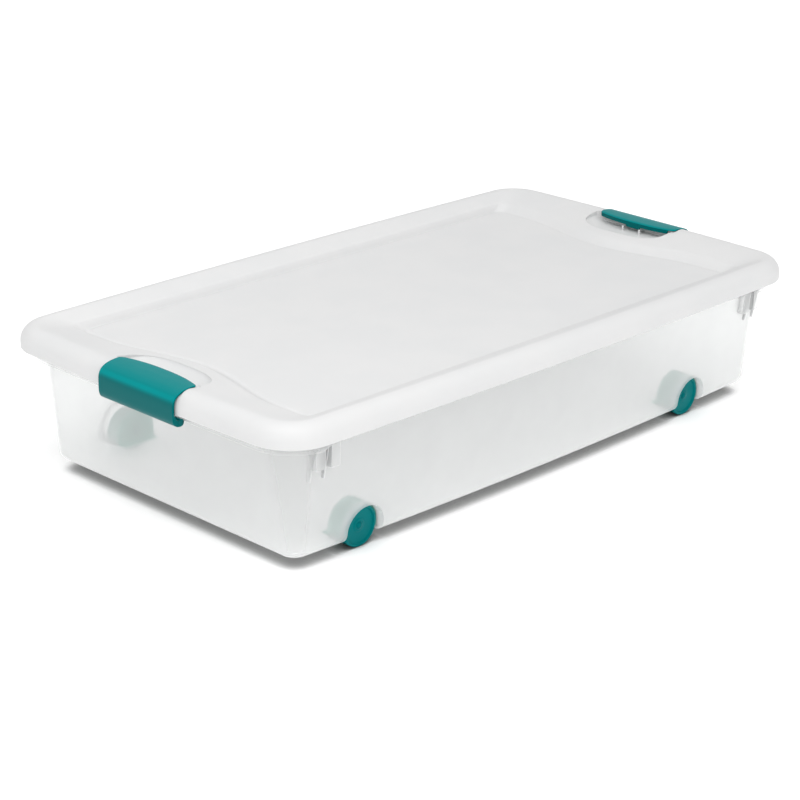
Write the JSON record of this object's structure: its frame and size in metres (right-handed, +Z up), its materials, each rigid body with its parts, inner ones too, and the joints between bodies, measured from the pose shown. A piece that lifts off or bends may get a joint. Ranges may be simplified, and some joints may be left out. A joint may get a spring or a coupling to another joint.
{
  "type": "under bed box",
  "caption": "Long low storage box with a see-through tub, sunk-top lid held by hinged end latches, and small wheels under the long sides for rolling under a bed.",
  "frame": {"origin": "on the floor under the middle of the box: centre of the bounding box in X and Y, bottom of the wheels in Z", "axes": "+X along the length towards the rear latch, +Y across the width, +Z up; the lid lifts towards +Z"},
  "size_m": [0.8876, 0.4872, 0.1805],
  "materials": {
    "tub": "frosted natural polypropylene, translucent, with a soft sheen",
    "lid": "white polypropylene, fine satin grain",
    "latch": "teal polypropylene, satin, lightly glossy on the curve",
    "wheel": "dark teal moulded plastic, matte tread with a turned groove",
    "axle_pin": "dark teal moulded plastic, smooth domed head"
  },
  "bodies": {
    "tub": {"tub": "tub", "axle_pin_front_right": "axle_pin", "axle_pin_front_left": "axle_pin", "axle_pin_rear_right": "axle_pin", "axle_pin_rear_left": "axle_pin"},
    "lid": {"lid": "lid"},
    "latch_front": {"latch_front": "latch"},
    "latch_rear": {"latch_rear": "latch"},
    "wheel_front_right": {"wheel_front_right": "wheel"},
    "wheel_front_left": {"wheel_front_left": "wheel"},
    "wheel_rear_right": {"wheel_rear_right": "wheel"},
    "wheel_rear_left": {"wheel_rear_left": "wheel"}
  },
  "joints": [
    {"name": "lid_lift", "type": "slide", "parent": "tub", "child": "lid", "axis": [0, 0, 1], "range_m": [0, 0.3]},
    {"name": "latch_front_hinge", "type": "hinge", "parent": "tub", "child": "latch_front", "pos_m": [-0.4325, -0.0065, 0.1436], "axis": [0, -1, 0], "range_deg": [0, 120]},
    {"name": "latch_rear_hinge", "type": "hinge", "parent": "tub", "child": "latch_rear", "pos_m": [0.4325, -0.003, 0.1436], "axis": [0, 1, 0], "range_deg": [0, 120]},
    {"name": "wheel_front_right_spin", "type": "hinge", "parent": "tub", "child": "wheel_front_right", "pos_m": [-0.295, -0.19, 0.0245], "axis": [0, 1, 0], "continuous": true},
    {"name": "wheel_front_left_spin", "type": "hinge", "parent": "tub", "child": "wheel_front_left", "pos_m": [-0.295, 0.19, 0.0245], "axis": [0, 1, 0], "continuous": true},
    {"name": "wheel_rear_right_spin", "type": "hinge", "parent": "tub", "child": "wheel_rear_right", "pos_m": [0.272, -0.19, 0.0245], "axis": [0, 1, 0], "continuous": true},
    {"name": "wheel_rear_left_spin", "type": "hinge", "parent": "tub", "child": "wheel_rear_left", "pos_m": [0.272, 0.19, 0.0245], "axis": [0, 1, 0], "continuous": true}
  ]
}
